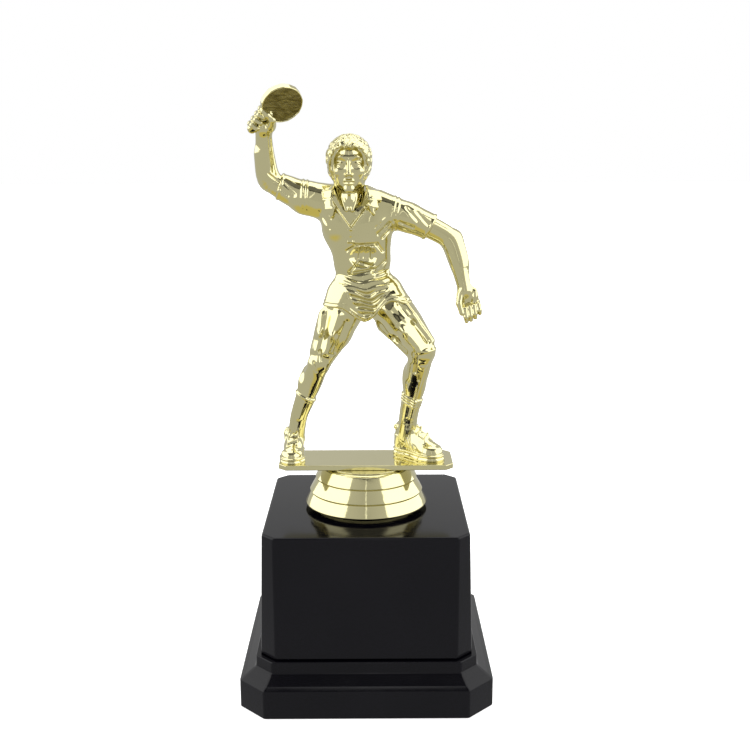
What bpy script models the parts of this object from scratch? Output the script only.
"""Figure trophy: a plated table-tennis player on a stepped riser and a two-tier base.

The figure and its oblong plate are one moulding that screws onto a stud. The stud runs
down through the hollow riser, the hollow block, an iron ballast plate and the plinth,
and a nut under the plinth clamps the stack. The figure, riser and stud turn together
about the stud's axis. The front faces -Y and the origin is the middle of the base.
"""
import math

import bmesh
import bpy
from mathutils import Matrix, Vector

MM = 0.001
FIT_GAP = 0.3          # air left between two mating pieces

# Plinth: square slab with cut corners, a sloping cove and an upright step
PAD_THICKNESS = 2.0
PLINTH_LIFT = 0.1      # the felt stands this far below the slab's rim
SLAB_SIDE = 75.0
SLAB_CORNER = 7.7
SLAB_TOP = 8.7
STEP_SIDE = 65.6
STEP_CORNER = 5.1
PLINTH_TOP = 15.5
COVE = (               # share of the way in to the step, height over the slab's top
    (0.0, 0.0), (0.31, 0.94), (0.62, 2.02), (0.88, 2.98), (0.97, 3.30), (1.0, 3.70))

# Block: hollow, open underneath, a little narrower at the top for mould draft
BLOCK_BOTTOM = PLINTH_TOP + FIT_GAP
BLOCK_TOP = 53.0
BLOCK_FOOT_SIDE = 62.8
BLOCK_HEAD_SIDE = 60.8
BLOCK_FOOT_CORNER = 4.7
BLOCK_HEAD_CORNER = 3.6
WALL = 2.3
EDGE_ROUNDING = 0.6

# Ballast and the stack that the nut clamps
BALLAST_SIDE = 54.0
BALLAST_CORNER = 17.0
BALLAST_THICKNESS = 10.0
ROD_RADIUS = 3.0
ROD_BOTTOM = 3.0
ROD_TOP = 65.0
ROD_HOLE_RADIUS = 3.4
NUT_ACROSS_FLATS = 10.0
NUT_HEIGHT = 5.0
WASHER_RADIUS = 9.0
WASHER_THICKNESS = 1.2
SPRING_WASHER_RADIUS = 5.1
SPRING_WASHER_THICKNESS = 1.4

# Self-tapping screws that hold the plinth to the block
SCREW_OFFSET = 22.0
SCREW_RADIUS = 1.6
SCREW_HEAD_RADIUS = 3.2
SCREW_HEAD_HEIGHT = 2.0
SCREW_TIP = 29.6
BOSS_RADIUS = 3.9
TUBE_RADIUS = 6.4
RIB_THICKNESS = 1.6
RIB_CLEARANCE = 6.0    # the ribs stop this far above the tube's lower end

# Riser: three conical tiers, each with a small undercut below its edge
RISER_BOTTOM = BLOCK_TOP + FIT_GAP
RISER_TOP = 66.1
RISER_TOP_RADIUS = 12.4
RISER_SHOULDER = (13.7, 65.7)
RISER_FOOT_RADIUS = 15.4
RISER_WALL = 1.6
RISER_HOLE_RADIUS = 6.6
TIERS = (              # edge radius, edge height, undercut, control point of the curve
    (15.7, 62.5, 0.40, (14.87, 64.0)),
    (17.5, 58.4, 0.40, (16.61, 60.07)),
    (18.9, 54.4, 0.20, (18.21, 55.95)),
)
TIER_POINTS = 4

# Figure moulding: plate and the spigot that holds the threaded insert
PLATE_TOP = 68.0
PLATE_THICKNESS = 1.6
PLATE_WIDTH = 53.4
PLATE_DEPTH = 17.2
PLATE_CORNER = 2.2
SPIGOT_RADIUS = 6.2
SPIGOT_BOTTOM = 57.4
INSERT_RADIUS = 4.4
INSERT_BOTTOM = 57.8
INSERT_TOP = 65.2

# Chains of the posed player: x, y, height above the plate and radius at each point
LIMBS = {
    "raised_arm": (
        (-10.5, 1.0, 78.4, 5.8), (-19.5, 1.6, 80.9, 4.5), (-28.2, 2.0, 84.6, 2.9),
        (-29.1, 1.0, 92.5, 2.8), (-29.4, 0.0, 97.0, 2.3)),
    "raised_fist": (
        (-28.8, -0.8, 100.2, 2.8), (-31.2, -1.0, 101.8, 2.8), (-31.6, -0.8, 104.0, 1.8)),
    "handle": ((-32.8, -1.3, 99.9, 1.1), (-26.5, -1.9, 104.4, 1.1)),
    "lowered_arm": (
        (3.6, 1.0, 77.0, 5.6), (12.8, 0.2, 74.2, 4.2), (24.8, 0.6, 68.6, 3.2),
        (27.7, -1.0, 62.6, 2.9), (29.4, -3.0, 53.4, 2.1)),
    "lowered_hand": ((30.4, -3.0, 51.0, 2.7), (31.9, -4.4, 47.9, 2.8), (31.9, -5.3, 45.4, 1.8)),
    "neck": ((-4.4, 1.0, 76.0, 5.6), (-4.6, 0.2, 83.0, 4.6)),
    "rear_leg": (
        (-6.0, 0.4, 48.0, 6.4), (-9.4, -0.8, 40.0, 5.4), (-15.0, -2.8, 28.4, 3.5),
        (-17.4, 0.4, 21.4, 3.4), (-20.3, 1.9, 15.0, 2.5), (-21.9, 3.4, 7.0, 2.8)),
    "front_leg": (
        (6.4, 0.2, 49.2, 6.4), (11.6, -3.8, 42.4, 5.5), (17.2, -7.4, 35.2, 3.9),
        (15.9, -2.6, 27.0, 3.9), (14.2, 0.8, 18.6, 2.9), (12.8, 3.6, 7.0, 3.1)),
    "rear_shorts": ((-5.4, 0.8, 51.0, 7.6), (-8.5, -0.3, 44.8, 6.4)),
    "front_shorts": ((5.4, 0.8, 51.0, 7.6), (9.0, -1.8, 46.4, 6.5)),
    "rear_shoe": ((-22.1, 4.9, 3.2, 3.4), (-22.1, 0.6, 3.4, 3.5), (-22.2, -3.9, 2.6, 3.2)),
    "front_shoe": ((12.0, 5.0, 3.4, 3.7), (16.6, 1.0, 3.6, 3.9), (21.4, -2.9, 2.8, 3.6)),
}
MASSES = {             # centre, half sizes
    "head": ((-4.5, -1.6, 89.6), (6.1, 7.2, 8.3)),
    "hair": ((-4.5, -0.4, 91.6), (7.1, 8.0, 7.2)),
    "chest": ((-3.0, 0.5, 70.5), (11.2, 7.2, 10.6)),
    "waist": ((-1.4, 0.8, 62.0), (8.6, 6.5, 12.0)),
    "belly": ((0.0, 0.8, 53.0), (10.6, 7.6, 7.6)),
}
BLADE_CENTRE = (-23.8, -2.0, 107.0)
BLADE_RADIUS = 6.0
BLADE_THICKNESS = 1.9
BLADE_NORMAL = (0.34, -0.88, -0.32)
REMESH_VOXEL = 0.42
FIGURE_DETAIL = 0.038  # share of the remeshed faces that is kept

GOLD = ("gold_plating", (0.83, 0.77, 0.48), 1.0, 0.12)
BLACK = ("black_plastic", (0.012, 0.012, 0.014), 0.0, 0.22)
BRASS = ("brass", (0.72, 0.53, 0.24), 1.0, 0.3)
ZINC = ("zinc_steel", (0.62, 0.63, 0.65), 1.0, 0.35)
IRON = ("raw_iron", (0.30, 0.30, 0.31), 1.0, 0.5)
FELT = ("felt", (0.02, 0.025, 0.02), 0.0, 0.95)


def clear_scene():
    for item in list(bpy.data.objects):
        bpy.data.objects.remove(item, do_unlink=True)


def make_collection(name):
    collection = bpy.data.collections.new(name)
    bpy.context.scene.collection.children.link(collection)
    return collection


def make_material(finish):
    name, colour, metallic, roughness = finish
    existing = bpy.data.materials.get(name)
    if existing:
        return existing
    material = bpy.data.materials.new(name)
    material.use_nodes = True
    shader = material.node_tree.nodes["Principled BSDF"]
    shader.inputs["Base Color"].default_value = (*colour, 1.0)
    shader.inputs["Metallic"].default_value = metallic
    shader.inputs["Roughness"].default_value = roughness
    return material


def place(item, finish):
    """Put a finished object among the parts and give it its own material."""
    parts.objects.link(item)
    item.data.materials.append(make_material(finish))
    return item


def place_cutter(item):
    cutters.objects.link(item)
    item.hide_render = True
    item.display_type = "WIRE"
    return item


def from_bmesh(name, build):
    """Object whose mesh, in millimetres while it is built, is scaled to metres."""
    bm = bmesh.new()
    build(bm)
    bmesh.ops.scale(bm, vec=(MM, MM, MM), verts=bm.verts)
    mesh = bpy.data.meshes.new(name)
    bm.to_mesh(mesh)
    bm.free()
    return bpy.data.objects.new(name, mesh)


def cut_square_ring(bm, side, corner, height):
    """Eight points of a square with cut corners, anticlockwise seen from above."""
    half = side / 2
    inner = half - corner
    outline = (
        (inner, -half), (half, -inner), (half, inner), (inner, half),
        (-inner, half), (-half, inner), (-half, -inner), (-inner, -half))
    return [bm.verts.new((x, y, height)) for x, y in outline]


def cut_square_loft(bm, levels):
    """Solid through cut-corner squares, given from the bottom to the top."""
    rings = [cut_square_ring(bm, *level) for level in levels]
    for lower, upper in zip(rings, rings[1:]):
        for i in range(len(lower)):
            j = (i + 1) % len(lower)
            bm.faces.new((lower[i], lower[j], upper[j], upper[i]))
    bm.faces.new(reversed(rings[0]))
    bm.faces.new(rings[-1])


def cut_square(name, levels):
    return from_bmesh(name, lambda bm: cut_square_loft(bm, levels))


def cylinder(name, radius, bottom, top, centre=(0.0, 0.0), sides=40, turn=0.0):
    def build(bm):
        middle = Vector((*centre, (bottom + top) / 2))
        matrix = Matrix.Translation(middle) @ Matrix.Rotation(turn, 4, "Z")
        bmesh.ops.create_cone(
            bm, cap_ends=True, segments=sides, radius1=radius, radius2=radius,
            depth=top - bottom, matrix=matrix)
    return from_bmesh(name, build)


def turned(name, profile, steps=48):
    """Closed outline of (radius, height) points turned about Z."""
    mesh = bpy.data.meshes.new(name)
    points = [(radius * MM, 0.0, height * MM) for radius, height in profile]
    edges = [(i, (i + 1) % len(points)) for i in range(len(points))]
    mesh.from_pydata(points, edges, [])
    item = bpy.data.objects.new(name, mesh)
    screw = item.modifiers.new("Turn", "SCREW")
    screw.axis = "Z"
    screw.angle = math.tau
    screw.steps = steps
    screw.render_steps = steps
    screw.use_merge_vertices = True
    screw.merge_threshold = 0.00001
    screw.use_smooth_shade = True
    return item


def boolean(item, other, operation):
    modifier = item.modifiers.new(other.name, "BOOLEAN")
    modifier.operation = operation
    modifier.solver = "EXACT"
    modifier.object = other


def cut(item, cutter):
    boolean(item, place_cutter(cutter), "DIFFERENCE")


def weld(item, other):
    boolean(item, place_cutter(other), "UNION")


def round_edges(item, width, segments=2, angle=35.0):
    bevel = item.modifiers.new("Rounding", "BEVEL")
    bevel.width = width * MM
    bevel.segments = segments
    bevel.limit_method = "ANGLE"
    bevel.angle_limit = math.radians(angle)


def screw_places():
    return [(x * SCREW_OFFSET, y * SCREW_OFFSET) for y in (-1, 1) for x in (-1, 1)]


# ---------------------------------------------------------------- base

def cove_levels():
    """Slope from the slab's top edge in to the foot of the step, turning up at its end."""
    levels = []
    for inward, rise in COVE:
        side = SLAB_SIDE - (SLAB_SIDE - STEP_SIDE) * inward
        corner = SLAB_CORNER - (SLAB_CORNER - STEP_CORNER) * inward
        levels.append((side, corner, SLAB_TOP + rise))
    return levels


def make_plinth():
    levels = [(SLAB_SIDE, SLAB_CORNER, PLINTH_LIFT)]
    levels += cove_levels()
    levels.append((STEP_SIDE, STEP_CORNER, PLINTH_TOP))
    plinth = cut_square("plinth", levels)
    round_edges(plinth, EDGE_ROUNDING * 0.7)
    recess_top = PAD_THICKNESS + FIT_GAP
    cut(plinth, cut_square("plinth_recess", (
        (SLAB_SIDE - 2 * WALL, SLAB_CORNER - 1.0, -1.0),
        (SLAB_SIDE - 2 * WALL, SLAB_CORNER - 1.0, recess_top))))
    hollow = STEP_SIDE - 2 * WALL - 1.0
    cut(plinth, cut_square("plinth_hollow", (
        (hollow, STEP_CORNER, 0.0),
        (hollow, STEP_CORNER, PLINTH_TOP - WALL))))
    cut(plinth, cylinder("plinth_rod_hole", ROD_HOLE_RADIUS, 5.0, 20.0))
    for number, spot in enumerate(screw_places()):
        cut(plinth, cylinder(
            f"plinth_screw_hole_{number}", SCREW_RADIUS + 0.5, 5.0, 20.0, spot, sides=20))
    return place(plinth, BLACK)


def make_block_hollow():
    """Space inside the block: its walls' inner faces, less the bosses and the ribs."""
    foot = BLOCK_FOOT_SIDE - 2 * WALL
    head = BLOCK_HEAD_SIDE - 2 * WALL
    hollow = cut_square("block_hollow", (
        (foot, BLOCK_FOOT_CORNER - 1.0, BLOCK_BOTTOM - 1.0),
        (head, BLOCK_HEAD_CORNER - 1.0, BLOCK_TOP - WALL)))
    tube_bottom = BLOCK_BOTTOM + BALLAST_THICKNESS + FIT_GAP
    cut(hollow, cylinder("block_tube", TUBE_RADIUS, tube_bottom, BLOCK_TOP))
    for number, spot in enumerate(screw_places()):
        cut(hollow, cylinder(
            f"block_boss_{number}", BOSS_RADIUS, 0.0, BLOCK_TOP, spot, sides=24))
    rib_levels = (tube_bottom + RIB_CLEARANCE, BLOCK_TOP)
    for number, turn in enumerate((0.0, math.pi / 2)):
        cut(hollow, rib(f"block_rib_{number}", rib_levels, turn))
    return hollow


def rib(name, levels, turn):
    def build(bm):
        bmesh.ops.create_cube(bm, size=1.0)
        size = (BLOCK_FOOT_SIDE, RIB_THICKNESS, levels[1] - levels[0])
        bmesh.ops.scale(bm, vec=size, verts=bm.verts)
        bmesh.ops.translate(bm, vec=(0, 0, sum(levels) / 2), verts=bm.verts)
        bmesh.ops.rotate(bm, matrix=Matrix.Rotation(turn, 3, "Z"), verts=bm.verts)
    return from_bmesh(name, build)


def make_block():
    block = cut_square("base_block", (
        (BLOCK_FOOT_SIDE, BLOCK_FOOT_CORNER, BLOCK_BOTTOM),
        (BLOCK_HEAD_SIDE, BLOCK_HEAD_CORNER, BLOCK_TOP)))
    round_edges(block, EDGE_ROUNDING)
    cut(block, make_block_hollow())
    cut(block, cylinder("block_rod_hole", ROD_HOLE_RADIUS, 0.0, BLOCK_TOP + 5.0))
    for number, spot in enumerate(screw_places()):
        cut(block, cylinder(
            f"block_pilot_{number}", SCREW_RADIUS + FIT_GAP, 0.0, SCREW_TIP + 1.0, spot, sides=20))
    return place(block, BLACK)


def make_ballast():
    bottom = BLOCK_BOTTOM
    ballast = cut_square("ballast_plate", (
        (BALLAST_SIDE, BALLAST_CORNER, bottom),
        (BALLAST_SIDE, BALLAST_CORNER, bottom + BALLAST_THICKNESS)))
    cut(ballast, cylinder("ballast_hole", ROD_HOLE_RADIUS, 0.0, 40.0))
    return place(ballast, IRON)


def make_pad():
    side = SLAB_SIDE - 2 * WALL - 2 * FIT_GAP
    corner = SLAB_CORNER - 1.0
    return place(cut_square("base_pad", ((side, corner, 0.0), (side, corner, PAD_THICKNESS))), FELT)


# ---------------------------------------------------------------- fasteners

def washer_profile(inner, outer, bottom, top):
    return ((outer, top), (outer, bottom), (inner, bottom), (inner, top))


def make_clamp_stack():
    """Washer, spring washer and nut, hung one under another below the plinth's top wall."""
    washer_top = PLINTH_TOP - WALL - FIT_GAP
    washer_bottom = washer_top - WASHER_THICKNESS
    place(turned("flat_washer", washer_profile(
        ROD_HOLE_RADIUS, WASHER_RADIUS, washer_bottom, washer_top), 36), ZINC)
    spring_top = washer_bottom - FIT_GAP
    spring_bottom = spring_top - SPRING_WASHER_THICKNESS
    place(turned("spring_washer", washer_profile(
        ROD_HOLE_RADIUS, SPRING_WASHER_RADIUS, spring_bottom, spring_top), 32), ZINC)
    nut_top = spring_bottom - FIT_GAP
    corner_radius = NUT_ACROSS_FLATS / 2 / math.cos(math.pi / 6)
    nut = cylinder("hex_nut", corner_radius, nut_top - NUT_HEIGHT, nut_top, sides=6)
    cut(nut, cylinder("nut_bore", ROD_RADIUS + FIT_GAP, 0.0, 30.0, sides=32))
    place(nut, ZINC)


def make_rod():
    rod = cylinder("threaded_rod", ROD_RADIUS, ROD_BOTTOM, ROD_TOP, sides=32)
    round_edges(rod, 0.5, segments=1, angle=60.0)
    return place(rod, ZINC)


def make_screws():
    head_top = PLINTH_TOP - WALL - FIT_GAP
    names = ("front_left", "front_right", "back_left", "back_right")
    for name, spot in zip(names, screw_places()):
        screw = cylinder(f"screw_{name}", SCREW_RADIUS, head_top - 1.0, SCREW_TIP, spot, sides=16)
        head = cylinder(
            f"screw_head_{name}", SCREW_HEAD_RADIUS, head_top - SCREW_HEAD_HEIGHT, head_top,
            spot, sides=24)
        weld(screw, head)
        place(screw, ZINC)


def make_insert():
    profile = washer_profile(ROD_RADIUS + FIT_GAP, INSERT_RADIUS, INSERT_BOTTOM, INSERT_TOP)
    return place(turned("threaded_insert", profile, 32), BRASS)


# ---------------------------------------------------------------- riser

def curve_through(start, control, end, count):
    """Points of a quadratic curve, without its first point."""
    points = []
    for i in range(1, count + 1):
        t = i / count
        weights = ((1 - t) ** 2, 2 * t * (1 - t), t * t)
        points.append(tuple(
            sum(w * p[axis] for w, p in zip(weights, (start, control, end))) for axis in (0, 1)))
    return points


def riser_outer():
    """Outer side from the top's rim down over the three tiers to the foot."""
    points = [(RISER_TOP_RADIUS, RISER_TOP), RISER_SHOULDER]
    for radius, height, undercut, control in TIERS:
        points += curve_through(points[-1], control, (radius, height), TIER_POINTS)
        points.append((radius - undercut, height - undercut))
    points[-1] = (RISER_FOOT_RADIUS, points[-1][1])
    points.append((RISER_FOOT_RADIUS, RISER_BOTTOM))
    return points


def make_riser():
    outer = riser_outer()
    roof = RISER_TOP - RISER_WALL
    inner = [
        (outer[-1][0] - RISER_WALL, RISER_BOTTOM),
        (TIERS[1][0] - 2.4 * RISER_WALL, TIERS[1][1]),
        (TIERS[0][0] - 2.4 * RISER_WALL, roof - 1.0),
        (RISER_TOP_RADIUS - RISER_WALL, roof)]
    hole = [(RISER_HOLE_RADIUS, roof), (RISER_HOLE_RADIUS, RISER_TOP)]
    return place(turned("riser", outer + inner + hole), GOLD)


# ---------------------------------------------------------------- figure

def add_ball(bm, centre, sizes):
    matrix = Matrix.Translation(centre) @ Matrix.Diagonal((*sizes, 1.0))
    bmesh.ops.create_uvsphere(bm, u_segments=20, v_segments=12, radius=1.0, matrix=matrix)


def add_cone_between(bm, start, end, start_radius, end_radius):
    along = end - start
    turn = Vector((0, 0, 1)).rotation_difference(along).to_matrix().to_4x4()
    matrix = Matrix.Translation((start + end) / 2) @ turn
    bmesh.ops.create_cone(
        bm, cap_ends=True, segments=20, radius1=start_radius, radius2=end_radius,
        depth=along.length, matrix=matrix)


def add_limb(bm, chain):
    """Ball at each point of the chain and a tapering length between two points."""
    points = [Vector(point[:3]) for point in chain]
    radii = [point[3] for point in chain]
    for point, radius in zip(points, radii):
        add_ball(bm, point, (radius, radius, radius))
    for i in range(len(points) - 1):
        add_cone_between(bm, points[i], points[i + 1], radii[i], radii[i + 1])


def build_player(bm):
    for chain in LIMBS.values():
        add_limb(bm, chain)
    for centre, sizes in MASSES.values():
        add_ball(bm, Vector(centre), sizes)
    middle = Vector(BLADE_CENTRE)
    offset = Vector(BLADE_NORMAL).normalized() * BLADE_THICKNESS / 2
    add_cone_between(bm, middle - offset, middle + offset, BLADE_RADIUS, BLADE_RADIUS)
    bmesh.ops.translate(bm, vec=(0, 0, PLATE_TOP), verts=bm.verts)


def make_figure():
    """Player's limbs and masses run together by a remesh, standing on the plate."""
    figure = from_bmesh("figure", build_player)
    remesh = figure.modifiers.new("Run together", "REMESH")
    remesh.mode = "VOXEL"
    remesh.voxel_size = REMESH_VOXEL * MM
    smooth = figure.modifiers.new("Soften", "SMOOTH")
    smooth.factor = 0.5
    smooth.iterations = 4
    decimate = figure.modifiers.new("Thin out", "DECIMATE")
    decimate.ratio = FIGURE_DETAIL
    plate_bottom = PLATE_TOP - PLATE_THICKNESS

    def build_plate(bm):
        bmesh.ops.create_cube(bm, size=1.0)
        size = (PLATE_WIDTH, PLATE_DEPTH, PLATE_THICKNESS)
        bmesh.ops.scale(bm, vec=size, verts=bm.verts)
        height = (PLATE_TOP + plate_bottom) / 2
        bmesh.ops.translate(bm, vec=(0, 0, height), verts=bm.verts)
        upright = [
            edge for edge in bm.edges
            if abs(edge.verts[0].co.z - edge.verts[1].co.z) > PLATE_THICKNESS / 2]
        bmesh.ops.bevel(
            bm, geom=upright, offset=PLATE_CORNER, segments=1, affect="EDGES")
    weld(figure, from_bmesh("figure_plate", build_plate))
    inside = PLATE_TOP - PLATE_THICKNESS / 2
    weld(figure, cylinder("figure_spigot", SPIGOT_RADIUS, SPIGOT_BOTTOM, inside - 0.2))
    bore_top = INSERT_TOP + FIT_GAP
    cut(figure, cylinder("figure_bore", INSERT_RADIUS + FIT_GAP, 50.0, bore_top))
    return place(figure, GOLD)


clear_scene()
parts = make_collection("figure_trophy")
cutters = make_collection("cutters")
make_pad()
make_plinth()
make_clamp_stack()
make_screws()
make_ballast()
make_block()
make_rod()
make_insert()
make_riser()
make_figure()
